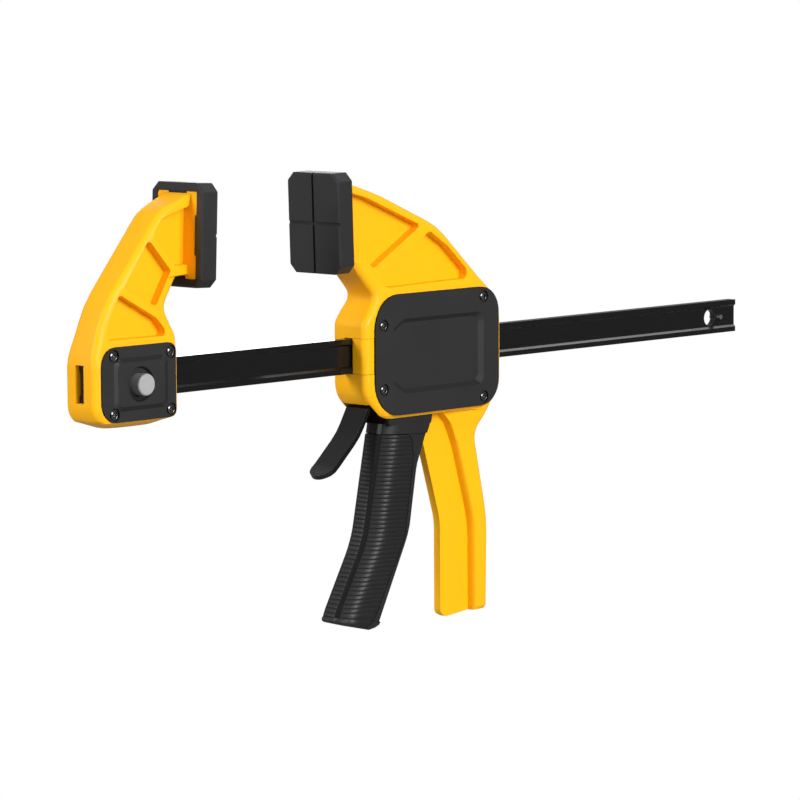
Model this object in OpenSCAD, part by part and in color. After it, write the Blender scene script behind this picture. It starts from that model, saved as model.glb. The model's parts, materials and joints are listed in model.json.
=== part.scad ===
// One-handed bar clamp: an I-section bar, a fixed jaw with a quick-change button at its left end,
// and a sliding jaw with a squeeze lever (drive plates) and a release lever (brake plate).
// Millimetres, +Z up, plates and screws towards -Y, origin at the centre of the hanging hole.

/* [Capacity] */
// Widest opening between the pads, jaw against the stop pin
max_opening = 304; // [250:1:600]
// Opening between the pads as drawn
jaw_gap = 93; // [60:1:240]

/* [Bar] */
// Height of the bar
bar_h = 20; // [18:0.5:21]
// Thickness of the bar over its flanges
bar_t = 6; // [5:0.1:6.6]
// Thickness of the bar's web
web_t = 3.6; // [2.8:0.1:4.4]
// Height of a flange's flat face
flange_h = 3; // [2:0.1:4]
// Height of the slope between flange and web
flange_slope = 1.2; // [0.8:0.1:2]
// Bar beyond the hanging hole
bar_tail = 24; // [18:0.5:40]
// Diameter of the hanging hole
hang_hole_d = 10.2; // [6:0.1:11]
// Diameter of the locking hole under the fixed jaw
lock_hole_d = 10.2; // [8:0.1:11]
// Diameter of the stop pin
stop_d = 3; // [2:0.1:4]
// Stop pin's distance past the hanging hole
stop_in = 8.4; // [8:0.1:14]
// How far the stop pin stands out of each side of the bar
stop_out = 1.2; // [0.8:0.1:2]

/* [Jaws] */
// Thickness of the fixed jaw round the bar
fixed_t = 25; // [24:0.5:30]
// Thickness of the fixed jaw's arm
fixed_arm_t = 21.4; // [16:0.2:23]
// Thickness of the housing round the bar
housing_t = 27; // [26:0.5:32]
// Thickness of the sliding jaw's arm
housing_arm_t = 23; // [18:0.5:26]
// Rounding of the jaws' long edges
edge_r = 4; // [2:0.5:4.5]
// Rounding of the jaws' underside
floor_r = 6; // [4:0.5:6]
// Half thickness of the web inside the fixed jaw's arm
fixed_web = 5.2; // [3:0.1:7]
// Half thickness of the web inside the sliding jaw's arm
housing_web = 5.5; // [3:0.5:8]

/* [Pads] */
// Thickness of a pad
pad_t = 12; // [10:0.5:16]
// Width of a pad
pad_w = 40.8; // [36:0.2:50]
// Height of a pad
pad_h = 57; // [52:0.5:64]
// Height of the sliding pad's middle over the bar's middle
pad_z = 77.3; // [74:0.1:84]
// Height of the fixed pad's middle over the bar's middle
fixed_pad_z = 76.3; // [74:0.1:84]
// Size of a pad's corner chamfer
pad_corner = 4.6; // [2:0.1:5]
// Width of a pad's grooves
groove_w = 1.6; // [1:0.1:4]
// Depth of a pad's grooves
groove_d = 1.2; // [0.6:0.1:2]
// Lean of the fixed pad towards the work
fixed_toe = 2.2; // [0:0.1:3]
// Lean of the sliding pad towards the work
moving_toe = 1.8; // [0:0.1:3]
// Thickness of the plates that the pads snap over
clip_t = 3.6; // [3:0.1:5]
// Width of the pad's frame round its plate
frame_w = 4.6; // [3:0.1:5]

/* [Covers and screws] */
// Thickness of the covers
cover_t = 2; // [1.6:0.1:3]
// Depth of the seat a cover lies in
cover_seat = 1; // [0.6:0.1:1.4]
// Diameter of a screw's head
screw_head_d = 5.2; // [4.5:0.1:6]
// Diameter of a screw's shank
screw_d = 2.9; // [2.5:0.1:3.2]
// Length of a screw under its head
screw_len = 7; // [6:0.5:9]

/* [Quick-change button] */
// Diameter of the button
button_d = 12; // [9:0.5:13]
// How far the button stands out of its cover
button_out = 6; // [4.6:0.1:7]
// Travel of the button
button_travel = 3.6; // [3.2:0.1:3.8]

/* [Levers] */
// Thickness of the brake plate
brake_t = 3.2; // [2.5:0.1:4]
// Lean of the brake plate at rest
brake_lean = 6; // [4:0.5:7]
// Thickness of one drive plate
drive_t = 3; // [2.5:0.1:3.5]
// Diameter of the squeeze lever's pin
pin_d = 5; // [4:0.1:6]
// Half width of the squeeze lever's fork
fork_half = 10.6; // [10:0.1:10.7]
// Thickness of a fork arm
fork_t = 2.6; // [2:0.1:2.8]
// Half width of the grip over its ribs
grip_half = 11.6; // [11.2:0.1:13]
// Number of ribs on the grip
grip_ribs = 36; // [20:1:40]
// Height of a rib
rib_h = 0.55; // [0.2:0.05:0.9]
// Width of the release lever's paddle
paddle_w = 17; // [13:0.5:17.5]
// Thickness of the release lever
paddle_t = 2.8; // [2:0.1:3.2]

/* [Handle] */
// Lowest point of the handle under the bar's middle
handle_reach = 159.4; // [150:0.2:170]
// Thickness of the handle's web
handle_web = 5; // [4:0.5:7]
// Half width of the handle's palm flange
palm_half = 7.5; // [6:0.1:7.7]

/* [Hidden] */
$fn = 48;

yellow = [0.98, 0.76, 0.05];
black = [0.14, 0.14, 0.15];
steel = [0.62, 0.63, 0.65];
grey = [0.66, 0.66, 0.67];

slack = 0.15;      // clearance of parts that seat in each other
slide = 0.3;       // clearance of parts that slide
run = 0.05;        // radial clearance of the lever's pin
eps = 0.01;
arc_step = 12;     // degrees per side of a rounded corner

// Fixed jaw, measured from its back face
fixed_bar_in = 2.5;      // bar's end under the back face
fixed_face = 61.2;       // face of the fixed jaw towards the work
fixed_clip = 71.8;       // back of the plate under the fixed pad
fixed_floor = -24.5;     // underside
fixed_top = 99.9;        // top of the arm at the plate
lock_in = 31.2;          // button's axis from the back face
cover_z = -0.6;          // covers' middle
button_z = -1.2;

// Sliding jaw, measured from its nose face
nose_clip = -15.8;       // back of the plate under the sliding pad
housing_end = 114.5;     // rear face of the housing
housing_floor = -38.4;
housing_top = 101.6;
guide_end = 96;          // start of the rear guide block

// Brake and drive, measured from the nose face
brake_x = 25;            // axis that the brake plate rocks about
brake_z = 17;
post_x = 33;             // post that carries the brake spring
post_z = -13.6;
pivot_x = 47;            // squeeze lever's pin
pivot_z = 17;
nose_r = 3.5;            // thrust nose of the fork
nose_dx = 4.5;
nose_z = -13;
nose_gap = 0.05;         // between the fork's thrust nose and the front plate
drive_x = pivot_x + nose_dx + nose_r + nose_gap;   // face of the drive plates towards the fork
plate_gap = 0.2;
plate_w = 20;
plate_h = 35;
cavity_half = fork_half + 0.4;

// Where things stand along the bar
pad_depth = pad_t - clip_t - 0.6;      // pad's face in front of its plate's front
fixed_face_x = fixed_clip + clip_t + pad_depth;      // fixed pad's face from the back face
moving_face_x = nose_clip - clip_t - pad_depth;      // sliding pad's face from the nose face
stop_x = stop_in - stop_d / 2;
back_x = stop_x - housing_end + moving_face_x - max_opening - fixed_face_x;
nose_x = back_x + fixed_face_x + jaw_gap - moving_face_x;
lock_x = back_x + lock_in;
bar_x0 = back_x + fixed_bar_in;
slot_h = bar_h + 2 * slide;
slot_t = bar_t + 2 * slide;

// ---------------------------------------------------------------- geometry helpers
function unit(v) = v / norm(v);
function turn(a) = a > 180 ? a - 360 : a < -180 ? a + 360 : a;

// Arc of radius r that rounds the corner b between a and c
function corner(a, b, c, r) =
    let (u = unit(a - b), v = unit(c - b), half = acos(max(-1, min(1, u * v))) / 2)
    r == 0 || half > 89.5 ? [b] :
    let (m = b + unit(u + v) * r / sin(half),
         s = b + u * r / tan(half),
         e = b + v * r / tan(half),
         a0 = atan2(s.y - m.y, s.x - m.x),
         sweep = turn(atan2(e.y - m.y, e.x - m.x) - a0),
         n = max(1, ceil(abs(sweep) / arc_step)))
    [for (i = [0:n]) m + r * [cos(a0 + sweep * i / n), sin(a0 + sweep * i / n)]];

function flat(v) = [v.x, v.y];
// Closed outline from corners [x, z, radius]
function outline(p) =
    let (n = len(p))
    [for (i = [0:n - 1]) each corner(flat(p[(i + n - 1) % n]), flat(p[i]), flat(p[(i + 1) % n]), p[i].z)];
// Open run through corners [x, z, radius]
function run_of(p) =
    let (n = len(p))
    concat([flat(p[0])],
           [for (i = [1:n - 2]) each corner(flat(p[i - 1]), flat(p[i]), flat(p[i + 1]), p[i].z)],
           [flat(p[n - 1])]);
function swapped(p) = [for (q = p) [q.y, q.x]];

function sorted(v) =
    len(v) < 2 ? v :
    let (m = v[floor(len(v) / 2)])
    concat(sorted([for (a = v) if (a < m) a]), [m], sorted([for (a = v) if (a > m) a]));
// Sorted values at least gap apart, with the last one kept
function spaced(v, gap) =
    let (s = sorted(v), n = len(s))
    concat([for (i = [0:n - 2]) if ((i == 0 || s[i] - s[i - 1] > gap) && s[n - 1] - s[i] > gap) s[i]],
           [s[n - 1]]);

// Closed skin over rings of points, each ring anticlockwise seen from the last ring's side
module loft(rings) {
    n = len(rings[0]);
    m = len(rings);
    polyhedron(
        points = [for (r = rings) each r],
        faces = concat(
            [[for (i = [0:n - 1]) i]],
            [[for (i = [0:n - 1]) m * n - 1 - i]],
            [for (k = [0:m - 2], i = [0:n - 1])
                let (a = k * n + i, b = k * n + (i + 1) % n)
                each [[a, a + n, b + n], [a, b + n, b]]]));
}

// Closed skin between matching outer and inner open runs, each listed like a loft's rings
module shell(outer, inner) {
    n = len(outer[0]);
    m = len(outer);
    off = m * n;
    strip = function (a, b) [for (k = [0:m - 2])
        let (i = k * n)
        each [[a + i, a + i + n, b + i + n], [a + i, b + i + n, b + i]]];
    cap = m * n - n;
    polyhedron(
        points = concat([for (r = outer) each r], [for (r = inner) each r]),
        faces = concat(
            [for (i = [0:n - 2]) each strip(i, i + 1)],
            [for (i = [0:n - 2]) each strip(off + i + 1, off + i)],
            strip(n - 1, off + n - 1), strip(off, 0),
            [for (i = [0:n - 2]) [i, i + 1, off + i + 1, off + i]],
            [for (i = [0:n - 2]) [cap + i + 1, cap + i, off + cap + i, off + cap + i + 1]]));
}

// Round wire of radius r along path, around an axis that runs along X
module wire(path, r, sides) {
    m = len(path);
    loft([for (i = [0:m - 1])
        let (t = unit(path[min(i + 1, m - 1)] - path[max(i - 1, 0)]),
             n = unit(cross(t, [1, 0, 0])),
             b = cross(t, n))
        [for (k = [0:sides - 1]) path[i] + r * (cos(360 * k / sides) * n + sin(360 * k / sides) * b)]]);
}

// Coil spring along X from x0 to x1, with half axes ay and az at its wire's centre
module coil(x0, x1, ay, az, wire_r, turns, steps, sides, taper = 1) {
    n = turns * steps;
    lead = 1 / turns;
    wire([for (i = [0:n])
        let (f = i / n,
             g = f < lead ? 0.35 * f : f > 1 - lead ? 1 - 0.35 * (1 - f)
                 : 0.35 * lead + (f - lead) * (1 - 0.7 * lead) / (1 - 2 * lead),
             s = 1 + (taper - 1) * f,
             a = 360 * i / steps)
        [x0 + wire_r + g * (x1 - x0 - 2 * wire_r), s * ay * cos(a), s * az * sin(a)]],
        wire_r, sides);
}

// Slab of an [x, z] outline between two values of y
module slab(p, y0, y1) {
    translate([0, y1, 0]) rotate([90, 0, 0]) linear_extrude(y1 - y0) polygon(p);
}
module rod(x, z, r, y0, y1) {
    translate([x, y1, z]) rotate([90, 0, 0]) cylinder(r = r, h = y1 - y0);
}
module box(x0, x1, y0, y1, z0, z1) {
    translate([x0, y0, z0]) cube([x1 - x0, y1 - y0, z1 - z0]);
}
module both_sides() {
    children();
    mirror([0, 1, 0]) children();
}
module at_back() { translate([back_x, 0, 0]) children(); }
module at_nose() { translate([nose_x, 0, 0]) children(); }

// ---------------------------------------------------------------- jaw bodies
// Level section of a jaw: from x0 to x1, half thickness h, edges rounded by r
// and drawn out to ra and rb along X where the side leans
function section(z, x0, x1, h, r, ra, rb) =
    let (room = (x1 - x0) / 2 - 0.05, a = min(ra, room), b = min(rb, room))
    [for (q = [[x1 - b, -h + r, -90, b], [x1 - b, h - r, 0, b],
               [x0 + a, h - r, 90, a], [x0 + a, -h + r, 180, a]],
          i = [0:3])
        [q[0] + q[3] * cos(q[2] + 30 * i), q[1] + r * sin(q[2] + 30 * i), z]];

// Body between a left and a right side (runs of [x, z] that only rise), with half thickness
// base below low and arm above high, and its underside rounded off
module jaw_body(left, right, base, arm, low, high) {
    bottom = left[0].y;
    top = min(left[len(left) - 1].y, right[len(right) - 1].y) - 0.7;
    lt = swapped(left);
    rt = swapped(right);
    heights = spaced(concat([for (p = lt) if (p.x < top) p.x], [for (p = rt) if (p.x < top) p.x],
                            [low, high, top],
                            [for (i = [1:4]) bottom + floor_r * (1 - cos(22.5 * i))]), 0.45);
    loft([for (z = heights)
        let (h = lookup(z, [[low, base], [high, arm]]),
             up = max(0, floor_r - (z - bottom)),
             hz = h - floor_r + sqrt(max(0, floor_r * floor_r - up * up)),
             sl = (lookup(z + 0.5, lt) - lookup(z - 0.5, lt)),
             sr = (lookup(z + 0.5, rt) - lookup(z - 0.5, rt)),
             r = min(edge_r, hz - 1))
        section(z, lookup(z, lt), lookup(z, rt), hz, r,
                r * min(3, sqrt(1 + sl * sl)), r * min(3, sqrt(1 + sr * sr)))]);
}

// ---------------------------------------------------------------- bar
bar_profile = [for (s = [[1, 1], [-1, 1], [-1, -1], [1, -1]])
    each let (f = [[bar_t / 2, bar_h / 2], [bar_t / 2, bar_h / 2 - flange_h],
                   [web_t / 2, bar_h / 2 - flange_h - flange_slope]],
              o = s.x * s.y > 0 ? [2, 1, 0] : [0, 1, 2])
        [for (i = o) [s.x * f[i].x, s.y * f[i].y]]];

module bar() {
    color(black)
    difference() {
        translate([bar_x0, 0, 0]) rotate([90, 0, 90])
            linear_extrude(bar_tail - bar_x0) polygon(bar_profile);
        rod(0, 0, hang_hole_d / 2, -bar_t, bar_t);
        rod(lock_x, 0, lock_hole_d / 2, -bar_t, bar_t);
        rod(stop_in, 0, stop_d / 2, -bar_t, bar_t);
    }
}

module stop_pin() {
    color(steel) rod(stop_in, 0, stop_d / 2, -bar_t / 2 - stop_out, bar_t / 2 + stop_out);
}

// ---------------------------------------------------------------- pads
// Plate that a pad snaps over, its front face at x = 0
clip_w = pad_w - 2 * frame_w - 2 * slack;
clip_h = pad_h - 2 * frame_w - 2 * slack;
side_lug = 21;
end_lug = 13.6;
lug_in = 1.6;

module clip_plate() {
    translate([clip_t, 0, 0]) rotate([90, 0, -90]) linear_extrude(clip_t)
        polygon(outline([for (s = [[-1, -1], [1, -1], [1, 1], [-1, 1]])
            [s.x * clip_w / 2, s.y * clip_h / 2, 1.5]]));
}
// Notches that the pad's lugs snap into
module clip_notches() {
    for (s = [-1, 1]) {
        translate([clip_t / 2, s * clip_w / 2, 0])
            cube([clip_t + 1, 2 * lug_in, side_lug + 1], center = true);
        translate([clip_t / 2, 0, s * clip_h / 2])
            cube([clip_t + 1, end_lug + 1, 2 * lug_in], center = true);
    }
}

// Pad with its face at x = -pad_depth and its frame reaching back past the plate
module pad() {
    face = outline([for (s = [[-1, -1], [1, -1], [1, 1], [-1, 1]])
        let (side = [s.x * pad_w / 2, s.y * (pad_h / 2 - pad_corner), 1.2],
             end = [s.x * (pad_w / 2 - pad_corner), s.y * pad_h / 2, 1.2])
        each s.x * s.y > 0 ? [side, end] : [end, side]]);
    bevel = 0.8;
    back = pad_t - pad_depth;
    n = len(face);
    ring = function (x, inset)
        [for (p = face) [x, p.x * (1 - 2 * inset / pad_w), p.y * (1 - 2 * inset / pad_h)]];
    difference() {
        loft([ring(-pad_depth, bevel), ring(-pad_depth + bevel, 0),
              ring(back - bevel, 0), ring(back, bevel)]);
        translate([-0.05, -clip_w / 2 - slack, -clip_h / 2 - slack])
            cube([pad_t, clip_w + 2 * slack, clip_h + 2 * slack]);
        box(-pad_t, -pad_depth + groove_d, -groove_w / 2, groove_w / 2, -pad_h, pad_h);
        box(-pad_t, -pad_depth + groove_d, -pad_w, pad_w, -groove_w / 2, groove_w / 2);
    }
    for (s = [-1, 1]) {
        box(0.1, back - bevel, s > 0 ? clip_w / 2 - lug_in + slack : -clip_w / 2 - slack - 0.5,
            s > 0 ? clip_w / 2 + slack + 0.5 : -clip_w / 2 + lug_in - slack, -side_lug / 2, side_lug / 2);
        box(0.1, back - bevel, -end_lug / 2, end_lug / 2,
            s > 0 ? clip_h / 2 - lug_in + slack : -clip_h / 2 - slack - 0.5,
            s > 0 ? clip_h / 2 + slack + 0.5 : -clip_h / 2 + lug_in - slack);
    }
}

// Places a part drawn with the pad's face towards -X on the sliding or the fixed jaw
module on_moving_clip() {
    at_nose() translate([nose_clip - clip_t, 0, pad_z]) rotate([0, -moving_toe, 0]) children();
}
module on_fixed_clip() {
    at_back() translate([fixed_clip + clip_t, 0, fixed_pad_z]) rotate([0, fixed_toe, 0])
        mirror([1, 0, 0]) children();
}

module fixed_pad() { color(black) on_fixed_clip() pad(); }
module moving_pad() { color(black) on_moving_clip() pad(); }

// ---------------------------------------------------------------- screws
module screw(x, z, seat) {
    head = 1.6;
    difference() {
        translate([x, seat, z]) rotate([90, 0, 0]) rotate_extrude()
            polygon([[0, 0], [screw_head_d / 2, 0], [screw_head_d / 2, head * 0.45],
                     [screw_head_d * 0.38, head * 0.85], [screw_head_d * 0.2, head], [0, head]]);
        for (i = [0:2])
            translate([x, seat - head - eps, z]) rotate([-90, 0, 0]) rotate([0, 0, 60 * i])
                translate([-1.15, -0.45, 0]) cube([2.3, 0.9, 1.1]);
    }
    rod(x, z, screw_d / 2, seat, seat + screw_len);
}
head_sink = 0.9;
head_room = 0.6;         // round a screw's head in its counterbore
fixed_seat = -fixed_t / 2 + cover_seat;         // face the fixed cover lies on
housing_seat = -housing_t / 2 + cover_seat;
fixed_holes = [[12.8, cover_z + 15.5], [54, cover_z + 15.2], [12.8, cover_z - 15.9], [54, cover_z - 16.2]];
housing_holes = [[14.4, cover_z + 17.5], [97.8, cover_z + 29.1],
                 [14.4, cover_z - 19.2], [98, cover_z - 29.8]];

module fixed_cover_screws() {
    color(steel) at_back() for (p = fixed_holes) screw(p.x, p.y, fixed_seat - cover_t + head_sink);
}
module housing_screws() {
    color(steel) at_nose() for (p = housing_holes) screw(p.x, p.y, housing_seat - cover_t + head_sink);
}
module screw_passes(holes, face) {
    for (p = holes) {
        rod(p.x, p.y, screw_d / 2 + slack, face - 5, face + 5);
        rod(p.x, p.y, screw_head_d / 2 + head_room, face - 5, face - cover_t + head_sink);
    }
}

// ---------------------------------------------------------------- fixed jaw
fixed_cover_edge = [[4.2, 19.7, 11], [4.2, -20.9, 11], [57.6, -20.9, 5], [57.6, 19.7, 5]];
// Outline moved out by d from the middle
function grown(p, d, mid) =
    [for (q = p) [q.x + (q.x > mid.x ? d : -d), q.y + (q.y > mid.y ? d : -d), q.z + d]];
fixed_mid = [30, cover_z];

arm_end = fixed_clip + clip_t / 2;
fixed_back = run_of([[14, fixed_floor, 0], [0, fixed_floor + 0.02, 13], [0, 14, 30], [10, 41, 60],
                     [51, 90.9, 24], [arm_end, fixed_top, 0]]);
fixed_throat = run_of([[48, fixed_floor, 0], [fixed_face, fixed_floor + 0.02, 8], [fixed_face, 23.5, 8],
                       [52.8, 38.5, 8], [62.6, 54.6, 5], [arm_end, 55.4, 0], [arm_end, fixed_top, 0]]);
fixed_pockets = [
    [[44.8, 77.4, 2], [51, 86.8, 8], [arm_end + 1, 93.4, 0], [arm_end + 1, 60.6, 0], [60, 60.6, 2]],
    [[41.6, 75.6, 2], [57.2, 58.2, 1.2], [45.9, 39.4, 2], [23.2, 50.9, 2]],
    [[19.8, 47.6, 2], [46.2, 33.4, 1.5], [51.8, 27.4, 2], [52, 23.2, 2], [9.6, 23.4, 2.5], [11.4, 31, 8]]];

yoke_w = 12;
yoke_half_h = 14.8;
yoke_rail = 3;
yoke_front = fixed_seat + 1.4;                 // front of the yoke, behind the button's flange
yoke_bridge = 2;
yoke_rear = bar_t / 2 + 1.6;                   // near face of the rear bridge
well_half = yoke_w / 2 + 3;

module fixed_jaw() {
    rear_wall = fixed_t / 2 - 1.8;
    color(yellow) difference() {
        union() {
            at_back() difference() {
                jaw_body(fixed_back, fixed_throat, fixed_t / 2, fixed_arm_t / 2, 10, 28);
                both_sides() for (p = fixed_pockets) slab(outline(p), -fixed_t, -fixed_web);
            }
            on_fixed_clip() clip_plate();
        }
        on_fixed_clip() clip_notches();
        at_back() {
            box(-1, fixed_face + 1, -slot_t / 2, slot_t / 2, -slot_h / 2, slot_h / 2);
            slab(outline(grown(fixed_cover_edge, slack, fixed_mid)), -fixed_t, fixed_seat);
            box(lock_in - well_half, lock_in + well_half, fixed_seat - 2, rear_wall,
                -yoke_half_h - 0.5, yoke_half_h + 0.5);
            for (p = fixed_holes)
                rod(p.x, p.y, screw_d / 2 + slack, fixed_seat - 2, fixed_seat + screw_len + 0.5);
        }
    }
}

// Low raised field on a cover: a frustum over an outline
module raised(p, inset, face, h) {
    q = outline(p);
    mid = [for (i = [0:1]) (max([for (v = q) v[i]]) + min([for (v = q) v[i]])) / 2];
    half = [for (i = [0:1]) (max([for (v = q) v[i]]) - min([for (v = q) v[i]])) / 2];
    loft([for (k = [[0, 0.3], [0, 0], [1, -h]])
        [for (v = q) [mid.x + (v.x - mid.x) * (1 - k.x * inset / half.x), face + k.y,
                      mid.y + (v.y - mid.y) * (1 - k.x * inset / half.y)]]]);
}

// Cutter for a recess under an outline, its walls sloping in by [left, bottom, right, top]
module sunk(p, slope, face, depth) {
    q = outline(p);
    lo = [for (i = [0:1]) min([for (v = q) v[i]])];
    hi = [for (i = [0:1]) max([for (v = q) v[i]])];
    span = hi - lo;
    loft([for (k = [1, -0.3])
        [for (v = q)
            let (f = [for (i = [0:1]) (v[i] - lo[i]) / span[i]],
                 in = [for (i = [0:1]) slope[i] * (1 - f[i]) - slope[i + 2] * f[i]])
            [v.x + k * in.x, face + k * depth, v.y + k * in.y]]]);
}

module fixed_jaw_cover() {
    face = fixed_seat - cover_t;
    color(black) at_back() difference() {
        union() {
            slab(outline(fixed_cover_edge), face, fixed_seat);
            raised([[12.6, 13.6, 4], [12.6, -15, 4], [51.4, -15, 4], [51.4, 13.6, 4]], 2.4, face, 0.7);
        }
        rod(lock_in, button_z, button_d / 2 + 0.25, -fixed_t, fixed_t);
        translate([lock_in, face - 0.7 - eps, button_z]) rotate([-90, 0, 0])
            cylinder(r1 = button_d / 2 + 3.6, r2 = button_d / 2 + 2.6, h = 1.7);
        screw_passes(fixed_holes, fixed_seat);
    }
}

module quick_change_button() {
    face = fixed_seat - cover_t - button_out;
    back = yoke_front - 0.2;
    color(grey) at_back() difference() {
        translate([lock_in, back, button_z]) rotate([90, 0, 0]) rotate_extrude()
            polygon([[0, 0], [button_d / 2 + 1.6, 0], [button_d / 2 + 1.6, back - fixed_seat - 0.2],
                     [button_d / 2, back - fixed_seat - 0.2], [button_d / 2, back - face - 0.8],
                     [button_d / 2 - 0.8, back - face], [0, back - face]]);
        rod(lock_in, button_z, button_d / 2 - 2.2, back - 4, back + 1);
    }
}

// Frame that passes above and below the bar and carries the locking boss behind it
module lock_yoke() {
    boss = lock_hole_d / 2 - slack;
    color(steel) at_back() difference() {
        union() {
            box(lock_in - yoke_w / 2, lock_in + yoke_w / 2, yoke_front, yoke_rear + yoke_bridge,
                -yoke_half_h, yoke_half_h);
            rod(lock_in, button_z, button_d / 2 - 2.5, yoke_front - 3.6, yoke_front + 0.5);
        }
        box(lock_in - yoke_w, lock_in + yoke_w, yoke_front + yoke_bridge, yoke_rear,
            -yoke_half_h + yoke_rail, yoke_half_h - yoke_rail);
    }
    color(steel) at_back() rod(lock_in, 0, boss, -0.5, yoke_rear + eps);
}

module lock_spring() {
    rest0 = yoke_rear + yoke_bridge;
    rest1 = fixed_t / 2 - 1.8;
    color(steel) translate([lock_x, 0, 0]) rotate([0, 0, 90])
        coil(rest0, rest1, 3, 3, 0.3, 3, 14, 6, 1.9);
}

// ---------------------------------------------------------------- sliding jaw housing
tip_end = nose_clip - clip_t / 2;
housing_nose = run_of([[32, housing_floor, 0], [16.8, housing_floor + 0.02, 8], [0, -23.2, 16], [0, 19, 9],
                       [11, 33.5, 5], [-9.2, 55.2, 6], [tip_end, 55.8, 0],
                       [tip_end, housing_top, 0]]);
housing_back = run_of([[92, housing_floor, 0], [housing_end, housing_floor + 0.02, 19],
                       [housing_end, 25.7, 22], [63.9, 71.5, 50], [14.6, 92.3, 90],
                       [tip_end, housing_top, 0]]);
housing_pockets = [
    [[tip_end - 1, 96.6, 0], [4.5, 90.4, 2], [48.2, 72.6, 1.6], [9, 49.8, 3], [-1.5, 60.2, 6],
     [tip_end - 1, 62, 0]],
    [[55.5, 69, 3], [70.5, 59.5, 12], [86.5, 45, 3], [86, 39.6, 3], [19, 38.2, 3], [15, 46, 3]]];
cover_edge = [[7.4, 34.3, 20], [7.4, -35.4, 20], [110.6, -35.4, 15], [110.6, 34.3, 15]];
cover_mid = [58, cover_z];
// Sunk panel of the cover, and how far its walls slope in at the left, bottom, right and top
panel_edge = [[31, 20, 2], [22, 14.8, 2], [22, -17, 2], [31.4, -23.2, 2],
              [97.6, -23.2, 6], [97.6, 20, 6]];
panel_slope = [0.8, 2.8, 4, 2.3];
panel_floor = 0.9;       // cover's thickness under the panel

// Sides of the handle's web and palm flange, rising
palm_foot = 1.8 - handle_reach;
web_front = run_of([[77.5, -handle_reach, 0], [72.4, 2.4 - handle_reach, 4], [72.4, -102, 30],
                    [54.5, -42, 10], [54.5, -21, 0]]);
flange_root = 70.4;       // front of the palm flange where it meets the housing
palm_front = run_of([[96, palm_foot, 0], [95.6, -104, 60], [82, -58, 40], [75.4, -43.4, 9],
                     [flange_root, housing_floor, 0], [flange_root, -30, 0]]);
palm_back = run_of([[109.4, palm_foot, 0], [110.4, -104, 70], [99.2, -52, 14], [110, -36, 10],
                    [111, -30, 0]]);

module handle() {
    // thin web that the squeeze lever closes over
    slab(concat(web_front, [[88, -21], [100, -60], [101, palm_foot + 1.2], [92, palm_foot - 0.4]]),
         -handle_web / 2, handle_web / 2);
    // palm flange, as wide as the housing where it leaves it
    pf = swapped(palm_front);
    pb = swapped(palm_back);
    heights = spaced(concat([for (p = pf) p.x], [for (p = pb) if (p.x < -30) p.x],
                            [palm_foot + 1, palm_foot + 2.2, -48, -42, -36]), 1);
    loft([for (z = heights)
        let (h = lookup(z, [[palm_foot, palm_half - 1.6], [palm_foot + 1, palm_half - 0.6],
                            [palm_foot + 2.2, palm_half], [-56, palm_half], [-48, palm_half + 0.8],
                            [-42, palm_half + 2.4], [-36, housing_t / 2 - 3], [-30, housing_t / 2 - 0.6]]))
        section(z, lookup(z, pf), lookup(z, pb), h, min(5, h - 1), 1.6, 5.5)]);
}

module housing() {
    open_end = 77;          // rear end of the levers' opening
    color(yellow) difference() {
        union() {
            at_nose() difference() {
                jaw_body(housing_nose, housing_back, housing_t / 2, housing_arm_t / 2, 24, 40);
                both_sides() for (p = housing_pockets) slab(outline(p), -housing_t, -housing_web);
            }
            at_nose() handle();
            on_moving_clip() clip_plate();
        }
        on_moving_clip() clip_notches();
        at_nose() {
            // bar's way, open to the front at both ends for the guides
            box(-1, housing_end + 1, -slot_t / 2, slot_t / 2, -slot_h / 2, slot_h / 2);
            box(-1, 9, -housing_t, 0, -slot_h / 2, slot_h / 2);
            box(guide_end, housing_end + 1, -housing_t, 0, -slot_h / 2, slot_h / 2);
            slab(outline(grown(cover_edge, slack, cover_mid)), -housing_t, housing_seat);
            // mechanism well behind the cover
            difference() {
                union() {
                    box(8, guide_end, -cavity_half, cavity_half, -23, 25.5);
                    slab(outline([[12, 26.5, 8], [12, -30, 8], [104, -30, 4], [104, 26.5, 8]]),
                         housing_seat - 2, -cavity_half + eps);
                    slab([[5.6, -27.6], [10.6, -22.6], [open_end, -22.6], [open_end, -45],
                          [16, -45], [4, -31]], -cavity_half, cavity_half);
                }
                // screw bosses, brake anchor, spring post and the web's root stay solid
                for (p = housing_holes)
                    rod(p.x, p.y, screw_d / 2 + 2.4, housing_seat, housing_seat + screw_len - 0.5);
                for (s = [-1, 1])
                    box(brake_x + s * 4.2 - 1.8, brake_x + s * 4.2 + 1.8, -9, cavity_half + 1,
                        brake_z - 3, 27);
                box(post_x, post_x + 2.6, -4.5, cavity_half + 1, post_z - 3.6, post_z + 3.6);
                slab(concat(web_front, [[88, -21], [100, -60]]), -handle_web / 2, handle_web / 2);
                // and so does the palm flange's root between the fork's arms
                slab([[flange_root, -22], [flange_root, housing_floor], [flange_root + 2, -46],
                      [open_end + 1, -46], [open_end + 1, -22]], -palm_half, palm_half);
            }
            // paddle's slot in the nose
            box(5.6, 17, -paddle_w / 2 - 0.7, paddle_w / 2 + 0.7, -42, -26);
            for (p = housing_holes)
                rod(p.x, p.y, screw_d / 2 + slack, housing_seat - 2, housing_seat + screw_len + 0.5);
            rod(pivot_x, pivot_z, pin_d / 2 + 0.02, 0, cavity_half + 1.2);
        }
    }
}

module housing_cover() {
    face = housing_seat - cover_t;
    color(black) at_nose() difference() {
        union() {
            slab(outline(cover_edge), face, housing_seat);
            rod(pivot_x, pivot_z, pin_d / 2 + 2.2, housing_seat - eps, -cavity_half - 0.1);
        }
        sunk(panel_edge, panel_slope, face, cover_t - panel_floor);
        rod(pivot_x, pivot_z, pin_d / 2 + 0.02, housing_seat - 0.3, 0);
        screw_passes(housing_holes, housing_seat);
    }
}

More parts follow.
